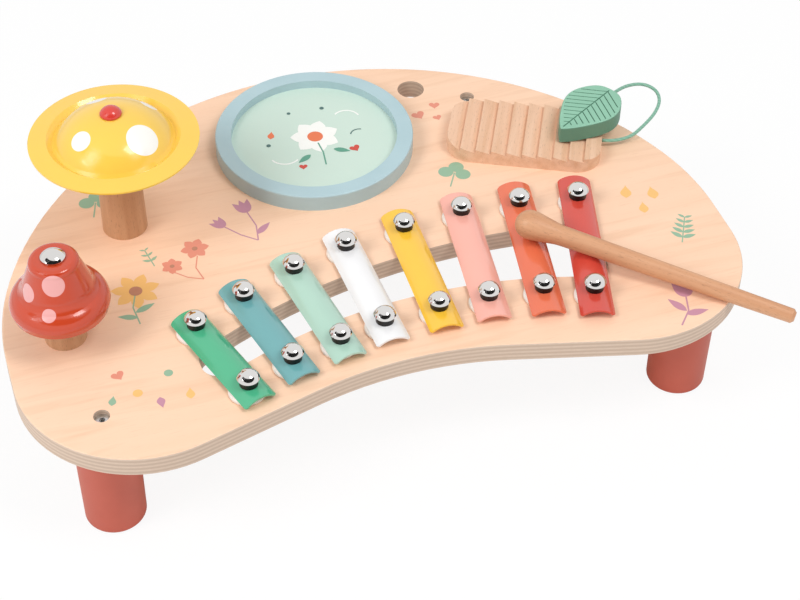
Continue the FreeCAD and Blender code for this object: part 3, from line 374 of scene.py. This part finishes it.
# Board prints: screen inks laid straight on the sanded ply, thin enough for the grain to show through.
# Each ink is one film a few hundredths of a millimetre above the wood, and one mesh holds all that it prints:
# tulips, round blossoms, clovers, ferns, hearts and raindrops. All sizes here are in millimetres.
def petal(x, y, length, width, turn, skew=0.8):
    a = math.radians(turn)
    edge = [(length * k / 12, width / 2 * math.sin(math.pi * (k / 12) ** skew)) for k in range(13)]
    edge += [(p, -q) for p, q in reversed(edge[1:-1])]
    return [[(x + p * math.cos(a) - q * math.sin(a), y + p * math.sin(a) + q * math.cos(a)) for p, q in edge]]


def dot(x, y, radius):
    return [[(x + radius * math.cos(math.tau * k / 20), y + radius * math.sin(math.tau * k / 20))
             for k in range(20)]]


def heart(x, y, size, turn=0):
    a = math.radians(turn)
    edge = [(16 * math.sin(t) ** 3 / 32 * size,
             (13 * math.cos(t) - 5 * math.cos(2 * t) - 2 * math.cos(3 * t) - math.cos(4 * t)) / 32 * size)
            for t in (math.tau * k / 28 for k in range(28))]
    return [[(x + p * math.cos(a) - q * math.sin(a), y + p * math.sin(a) + q * math.cos(a))
             for p, q in reversed(edge)]]


def blossom(x, y, reach, width, count, turn=0):
    shapes = []
    for k in range(count):
        shapes += petal(x, y, reach, width, turn + 360 * k / count, 1.3)
    return shapes


def stroke(width, *spots):
    strips = []
    for (x, y), (u, v) in zip(spots, spots[1:]):
        far = math.hypot(u - x, v - y)
        nx, ny = (y - v) / far * width / 2, (u - x) / far * width / 2
        strips.append([(x - nx, y - ny), (u - nx, v - ny), (u + nx, v + ny), (x + nx, y + ny)])
    return strips


def bow(x, y, radius, start, sweep, width):
    angles = [math.radians(start + sweep * k / 10) for k in range(11)]
    return stroke(width, *[(x + radius * math.cos(a), y + radius * math.sin(a)) for a in angles])


def tulip(x, y, size, turn):
    shapes = []
    for lean in (-24, 0, 24):
        shapes += petal(x, y, size, size * 0.42, turn + lean, 0.7)
    return shapes


def fern(x, y, length, turn, rungs):
    a = math.radians(turn)
    shapes = stroke(0.7, (x, y), (x + length * math.cos(a), y + length * math.sin(a)))
    for k in range(1, rungs + 1):
        u, v = x + length * k / rungs * math.cos(a), y + length * k / rungs * math.sin(a)
        size = length * (0.42 - 0.2 * k / rungs)
        shapes += petal(u, v, size, size * 0.38, turn + 62) + petal(u, v, size, size * 0.38, turn - 62)
    return shapes


def clover(x, y, size, turn):
    a = math.radians(turn)
    shapes = stroke(0.8, (x - size * 1.3 * math.cos(a), y - size * 1.3 * math.sin(a)), (x, y))
    for lean in (-95, 0, 95):
        b = math.radians(turn + lean)
        shapes += dot(x + size * 0.52 * math.cos(b), y + size * 0.52 * math.sin(b), size * 0.46)
    return shapes


def print_ink(name, shapes, finish, height):
    # Each shape lies a hair above the one before, so that shapes that cross don't flicker.
    shape_step = 0.0004
    corners, faces = [], []
    for depth, outline in enumerate(shapes):
        first = len(corners)
        corners += [(x / 1000, y / 1000, (height + shape_step * depth) / 1000) for x, y in outline]
        faces.append(range(first, len(corners)))
    mesh = bpy.data.meshes.new(name)
    mesh.from_pydata(corners, [], faces)
    mesh.materials.append(finish)
    film = bpy.data.objects.new(name, mesh)
    bpy.context.scene.collection.objects.link(film)
    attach(film, "table")


# Each ink: its colour, how much of the wood it covers, the film's height, and its shapes.
board_prints = {
    "mauve": ("#bb7f9f", 0.86, 74.03,
              tulip(-54, 30, 11.5, 100) + stroke(0.8, (-54, 30), (-52, 18), (-54, 6))
              + tulip(-69, 22, 9.5, 122) + stroke(0.8, (-69, 22), (-62, 13), (-54, 6))
              + petal(-53.5, 11, 12, 4, 38)
              + tulip(152, -107, 13, 80) + stroke(0.9, (152, -107), (149, -117), (141, -126))
              + petal(148, -117, 13, 4.6, 118) + petal(146.5, -119, 13, 4.6, -2)
              + petal(-132, -100, 8, 4.4, 90, 1.5)),
    "coral": ("#e0806c", 0.82, 74.03,
              blossom(-89, 10, 8, 5.2, 6) + blossom(-104, 0, 6.2, 4.2, 6, 20)
              + stroke(0.7, (-89, 4), (-92, -5), (-90, -15)) + stroke(0.7, (-104, -5), (-98, -11), (-90, -15))
              + heart(65, 83, 8, 12) + heart(77, 89, 6.4, -14) + heart(75, 77.5, 5.2, 6)
              + heart(-149, -71, 7, 18)),
    "yellow": ("#f3bd62", 0.8, 74.03,
               blossom(-127, -13, 13.5, 6.8, 7, 8)
               + petal(157, -13, 11, 6.4, 250, 1.5) + petal(170, -18, 11, 6.4, 262, 1.5)
               + petal(160.5, -29, 9.5, 5.4, 256, 1.5)
               + petal(-116, -90, 8, 4.6, 262, 1.5) + dot(-142, -86, 2.6)),
    "green": ("#78b296", 0.86, 74.03,
              clover(-133, 64, 9.6, 74) + clover(68, 27, 9.6, 60)
              + fern(168, -67, 21, 62, 5) + fern(-113, 3, 14, 100, 3)
              + stroke(0.8, (-127, -13), (-131, -25), (-130, -38)) + petal(-130.5, -29, 12, 4, 20)
              + petal(-130, -33, 11, 3.8, 160) + dot(-124, -77, 2.4) + petal(-154, -84, 7, 4, 250, 1.5)),
    "brown": ("#a8664e", 0.8, 74.07, dot(-127, -13, 3.6) + dot(-89, 10, 1.6) + dot(-104, 0, 1.3)),
}
for shade, (ink, cover, height, shapes) in board_prints.items():
    print_ink("print_" + shade, shapes, birch_plywood("screen_ink_" + shade, ink, cover), height)


# Skin prints: a plain white flower with arcs, dots and small hearts, screen-printed on the drum's film.
# The ink is opaque and a little uneven where the squeegee passed.
def skin_ink(name, ink):
    lay_mm = 50 / 11
    finish, tree, shader, place = new_finish(name)
    lay = add(tree, "ShaderNodeTexNoise", {"Vector": place, "Scale": 1000 / lay_mm, "Detail": 2.0})
    lay_tone = add(tree, "ShaderNodeMix", {"Factor": lay.outputs[0], "A": colour(ink),
                                           "B": [c * 0.94 for c in colour(ink)[:3]] + [1.0]}, data_type="RGBA")
    set_shader(tree, shader, Base_Color=lay_tone.outputs["Result"], Roughness=0.4)
    return finish


skin_low, skin_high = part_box("drum_skin")
skin_top = skin_high[2] * 1000
drum_x, drum_y = (skin_low[k] * 500 + skin_high[k] * 500 for k in (0, 1))
skin_prints = {
    "white": ("#fbfbf6", blossom(drum_x + 1, drum_y + 2, 14.5, 9.5, 7, 12)
              + bow(drum_x - 20, drum_y - 8, 9, 200, 110, 0.9) + bow(drum_x + 23, drum_y + 12, 8, 10, 120, 0.9)),
    "orange": ("#ea7a4e", dot(drum_x + 1, drum_y + 2, 4.6) + petal(drum_x - 22, drum_y + 14, 7, 4, 250, 1.5)),
    "red": ("#cf4a3c", heart(drum_x + 20, drum_y - 15, 6.2, 14) + heart(drum_x - 13, drum_y - 22, 4.8, -12)),
    "leaf": ("#5d9e86", petal(drum_x - 6, drum_y - 13, 10, 3.8, 210) + petal(drum_x + 8, drum_y - 12, 10, 3.8, -28)
             + stroke(0.8, (drum_x + 1, drum_y - 4), (drum_x + 1.5, drum_y - 13), (drum_x, drum_y - 24))),
    "ink": ("#4d6f6c", bow(drum_x + 26, drum_y - 4, 5, 60, 100, 0.7) + dot(drum_x - 27, drum_y + 2, 1.3)
            + dot(drum_x + 12, drum_y + 26, 1.3) + dot(drum_x - 8, drum_y + 27, 1.1)),
}
film_step = 0.03
for step, (shade, (ink, shapes)) in enumerate(skin_prints.items(), 1):
    print_ink("skin_print_" + shade, shapes, skin_ink("film_ink_" + shade, ink), skin_top + film_step * step)


# Guiro: one sawn and sanded beech block with ten saw teeth, screwed on from under the board.
# It has no oil, so it is paler and more matt than the posts.
guiro_turn = math.radians(-26.3)
dress("guiro", beech("sanded_beech_guiro", "#f0c8aa", "#e2b592",
                     (-math.sin(guiro_turn), math.cos(guiro_turn), 0), 0.6))


# Leaf scraper: a 10 mm beech leaf stained green, with its midrib and veins engraved 0.6 mm deep.
# The stain is matt. Everything below the top face, the cut veins and the sides, is painted darker as painted shade.
vein_floor, vein_edge = 0.0933, 0.0936
leaf_green = painted_wood("green_stain_on_beech", "#90c3a9", "#85b89f", gloss=0.55)
tree = leaf_green.node_tree
shader = next(n for n in tree.nodes if n.type == "BSDF_PRINCIPLED")
plain = shader.inputs["Base Color"].links[0].from_socket
depth = add(tree, "ShaderNodeSeparateXYZ", {"Vector": add(tree, "ShaderNodeTexCoord").outputs["Object"]}).outputs["Z"]
# Painted shade: the veins' floors and the leaf's sides get a darker green.
vein_and_side_shade = add(tree, "ShaderNodeMapRange", {"Value": depth, "From Min": vein_floor, "From Max": vein_edge, "To Min": 1.0,
                                       "To Max": 0.0})
stain_with_painted_shade = add(tree, "ShaderNodeMix", {"Factor": vein_and_side_shade.outputs[0], "A": plain, "B": colour("#5f8e78")},
              data_type="RGBA")
set_shader(tree, shader, Base_Color=stain_with_painted_shade.outputs["Result"])
dress("leaf_scraper", leaf_green)


# Cord: 2 mm twisted cotton, glued into the guiro's end and the leaf's broad end, in one loose loop.
# The twist shows as fine slanting ridges, and the cotton is matt with a soft bloom at its edges.
def guiro_spot(x, y, z):
    middle_x, middle_y = 0.11666, 0.041228
    c, s = math.cos(guiro_turn), math.sin(guiro_turn)
    return Vector((middle_x + (x * c - y * s) / 1000, middle_y + (x * s + y * c) / 1000, z / 1000))


leaf_turn = math.radians(31)
leaf_out = Vector((math.cos(leaf_turn), math.sin(leaf_turn), 0))
leaf_tip, leaf_long, cord_sunk = Vector((0.13056, 0.023328, 0.0888)), 0.0493, 0.007
leaf_end = leaf_tip + leaf_out * leaf_long
cord_points = [guiro_spot(44.5, 2.0, 78.4), guiro_spot(50.5, 2.0, 78.4)]
for x, y, height in [(174.96, 21.328, 78.0), (185.96, 28.328, 78.2), (196.46, 35.828, 79.0), (203.66, 44.328, 80.4),
                     (204.86, 52.828, 82.0), (199.06, 58.728, 83.8), (189.06, 57.928, 86.0)]:
    cord_points.append(Vector((x, y, height)) / 1000)
cord_points += [leaf_end + leaf_out * cord_sunk, leaf_end]
line = bpy.data.curves.new("cord_line", "CURVE")
line.dimensions = "3D"
spline = line.splines.new("NURBS")
spline.points.add(len(cord_points) - 1)
for knot, spot in zip(spline.points, cord_points):
    knot.co = (*spot, 1.0)
spline.order_u = 3
spline.use_endpoint_u = True
spline.resolution_u = 10
carrier = bpy.data.objects.new("cord_line", line)
bpy.context.scene.collection.objects.link(carrier)
path = [v.co.copy() for v in bpy.data.meshes.new_from_object(carrier).vertices]
bpy.data.objects.remove(carrier)


def tube(name, path, radius, sides=14):
    shape = bmesh.new()
    rings = []
    side = Vector((0, 0, 1))
    for here, spot in enumerate(path):
        ahead = (path[min(here + 1, len(path) - 1)] - path[max(here - 1, 0)]).normalized()
        side = (side - ahead * side.dot(ahead)).normalized()
        other = ahead.cross(side)
        rings.append([shape.verts.new(spot + (side * math.cos(a) + other * math.sin(a)) * radius)
                      for a in (math.tau * k / sides for k in range(sides))])
    for one, two in zip(rings, rings[1:]):
        for k in range(sides):
            shape.faces.new((one[k], one[(k + 1) % sides], two[(k + 1) % sides], two[k]))
    shape.faces.new(list(reversed(rings[0])))
    shape.faces.new(rings[-1])
    mesh = bpy.data.meshes.new(name)
    shape.normal_update()
    shape.to_mesh(mesh)
    mesh.shade_smooth()
    piece = bpy.data.objects.new(name, mesh)
    bpy.context.scene.collection.objects.link(piece)
    return piece


cord_radius, twist_mm = 0.001, 50 / 9
cord = tube("scraper_cord", path, cord_radius)
cotton, tree, shader, place = new_finish("twisted_cotton_cord")
twist = add(tree, "ShaderNodeTexWave", {"Vector": place, "Scale": 1000 / twist_mm, "Distortion": 2.0},
            bands_direction="DIAGONAL")
twist_tone = add(tree, "ShaderNodeMix", {"Factor": twist.outputs[1], "A": colour("#79ad96"), "B": colour("#8cbca6")},
                 data_type="RGBA")
twist_bump = add(tree, "ShaderNodeBump", {"Height": twist.outputs[1], "Strength": 0.4, "Distance": 0.0002})
set_shader(tree, shader, Base_Color=twist_tone.outputs["Result"], Roughness=0.85, Sheen_Weight=0.3,
           Normal=twist_bump.outputs[0])
cord.data.materials.append(cotton)
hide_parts("leaf_cord")
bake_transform(cord)


# Mallet: one stick of turned beech with a round head and a tapering handle, oiled.
# It lies on the longest bar and over the board's edge.
mallet_turn = math.radians(-40.3)
dress("mallet", beech("oiled_beech_mallet", "#d9a37b", "#c88f68",
                      (math.cos(mallet_turn), math.sin(mallet_turn), -0.094)))


# Studio floor: matt white paper, 12 m wide. To the camera it is nearly as bright as the white surround,
# and it keeps a soft shadow under the object.
# The paper grain is coarser than real, so that it shows.
floor_reach, floor_glow, paper_mm = 6, 0.9, 2.5
floor_mesh = bpy.data.meshes.new("studio_floor")
floor_mesh.from_pydata([(x * floor_reach, y * floor_reach, 0) for x, y in ((-1, -1), (1, -1), (1, 1), (-1, 1))],
                       [], [(0, 1, 2, 3)])
floor = bpy.data.objects.new("studio_floor", floor_mesh)
bpy.context.scene.collection.objects.link(floor)
paper, tree, shader, place = new_finish("matt_white_paper")
grain = add(tree, "ShaderNodeTexNoise", {"Vector": place, "Scale": 1000 / paper_mm, "Detail": 2.0})
paper_rough = add(tree, "ShaderNodeMapRange", {"Value": grain.outputs[0], "To Min": 0.85, "To Max": 0.95})
set_shader(tree, shader, Base_Color=colour("#fafafa"), Roughness=paper_rough.outputs[0])
bright = add(tree, "ShaderNodeEmission", {"Color": (1, 1, 1, 1), "Strength": 1.0})
lit = add(tree, "ShaderNodeMath", {0: add(tree, "ShaderNodeLightPath").outputs["Is Camera Ray"], 1: floor_glow},
          operation="MULTIPLY")
blend = add(tree, "ShaderNodeMixShader", {0: lit.outputs[0], 1: shader.outputs[0], 2: bright.outputs[0]})
tree.links.new(blend.outputs[0], next(n for n in tree.nodes if n.type == "OUTPUT_MATERIAL").inputs["Surface"])
floor_mesh.materials.append(paper)


# Surround: an even white room. It lights the object at about half strength, so pale wood doesn't clip,
# and it is full white where the camera sees it or metal mirrors it.
light_level, seen_level = 0.53, 1.0
world = bpy.data.worlds.new("studio_surround")
bpy.context.scene.world = world
world.use_nodes = True
world.node_tree.nodes.clear()
rays = add(world.node_tree, "ShaderNodeLightPath")
seen = add(world.node_tree, "ShaderNodeMath", {0: rays.outputs["Is Camera Ray"], 1: rays.outputs["Is Glossy Ray"]},
           operation="MAXIMUM")
seen = add(world.node_tree, "ShaderNodeMath", {0: seen.outputs[0], 1: rays.outputs["Is Transmission Ray"]},
           operation="MAXIMUM")
level = add(world.node_tree, "ShaderNodeMix", {"Factor": seen.outputs[0], "A": light_level, "B": seen_level},
            data_type="FLOAT")
glow = add(world.node_tree, "ShaderNodeBackground", {"Color": (1, 1, 1, 1), "Strength": level.outputs[0]})
add(world.node_tree, "ShaderNodeOutputWorld", {"Surface": glow.outputs[0]})


# Softboxes: one from the left and one from the right of the camera, 0.5 by 0.7 m and 1.6 m off.
# They give the enamel and the domed nails soft double highlights, and the legs a soft shadow.
table_middle = Vector((0, 0, 0.08))
lamp_away, lamp_width, lamp_height = 1.6, 0.5, 0.7


def softbox(name, towards, power):
    lamp = bpy.data.lights.new(name, "AREA")
    lamp.shape = "RECTANGLE"
    lamp.size, lamp.size_y = lamp_width, lamp_height
    lamp.energy = power
    thing = bpy.data.objects.new(name, lamp)
    bpy.context.scene.collection.objects.link(thing)
    thing.location = Vector(towards).normalized() * lamp_away + table_middle
    thing.rotation_euler = Vector(towards).to_track_quat("Z", "Y").to_euler()


softbox("softbox_left", (-0.69, -0.21, 0.67), 10.6)
softbox("softbox_right", (0.34, -0.38, 0.87), 9.5)


# Black flag: a curved felt strip 1.5 m off, on the camera's side, that only mirror-like metal sees.
# It gives the nails and the dome screw the dark bands that polished metal shows in a studio.
flag_reach, flag_steps, flag_from, flag_turn = 1.5, 24, 168, 7
flag_tilt, flag_below, flag_above, flag_ends = 45, 19, 15, 0.30
# Coarser than real nap, which wouldn't show.
nap_mm = 1.25
black_felt, tree, shader, place = new_finish("black_felt_flag")
nap = add(tree, "ShaderNodeTexNoise", {"Vector": place, "Scale": 1000 / nap_mm})
nap_tone = add(tree, "ShaderNodeMix", {"Factor": nap.outputs[0], "A": colour("#0c0c0c"), "B": colour("#1c1c1c")},
               data_type="RGBA")
set_shader(tree, shader, Base_Color=nap_tone.outputs["Result"], Roughness=0.95)
strip = []
for step in range(flag_steps + 1):
    around = math.radians(flag_from + step * flag_turn)
    spread = flag_ends + (1 - flag_ends) * math.sin(math.pi * step / flag_steps) ** 0.7
    for rise in (flag_tilt - flag_below * spread, flag_tilt + flag_above * spread):
        lift = math.radians(rise)
        strip.append((flag_reach * math.cos(lift) * math.cos(around), flag_reach * math.cos(lift) * math.sin(around),
                      0.08 + flag_reach * math.sin(lift)))
flag_mesh = bpy.data.meshes.new("black_flag")
flag_mesh.from_pydata(strip, [], [(2 * k, 2 * k + 2, 2 * k + 3, 2 * k + 1) for k in range(flag_steps)])
flag = bpy.data.objects.new("black_flag", flag_mesh)
bpy.context.scene.collection.objects.link(flag)
flag.visible_camera = flag.visible_diffuse = flag.visible_shadow = flag.visible_transmission = False
flag_mesh.materials.append(black_felt)


# Camera: an 83 mm lens about 1 m from the table, in front of it and a little to its left.
# It looks down by 44 degrees, as the photograph does, so the ellipses of the round pieces match.
camera_data = bpy.data.cameras.new("camera")
camera_data.sensor_width = 36
camera_data.lens = 83.04
camera = bpy.data.objects.new("camera", camera_data)
bpy.context.scene.collection.objects.link(camera)
right = Vector((0.949686, -0.313109, 0.007725))
up = Vector((0.214018, 0.666748, 0.713893))
back = Vector((-0.228704, -0.676312, 0.700212))
aim = Matrix((right, up, back)).transposed().to_4x4()
camera.matrix_world = Matrix.Translation((-0.21944, -0.727872, 0.7628)) @ aim
bpy.context.scene.camera = camera
bpy.context.scene.view_settings.view_transform = "Standard"

bpy.context.view_layer.update()
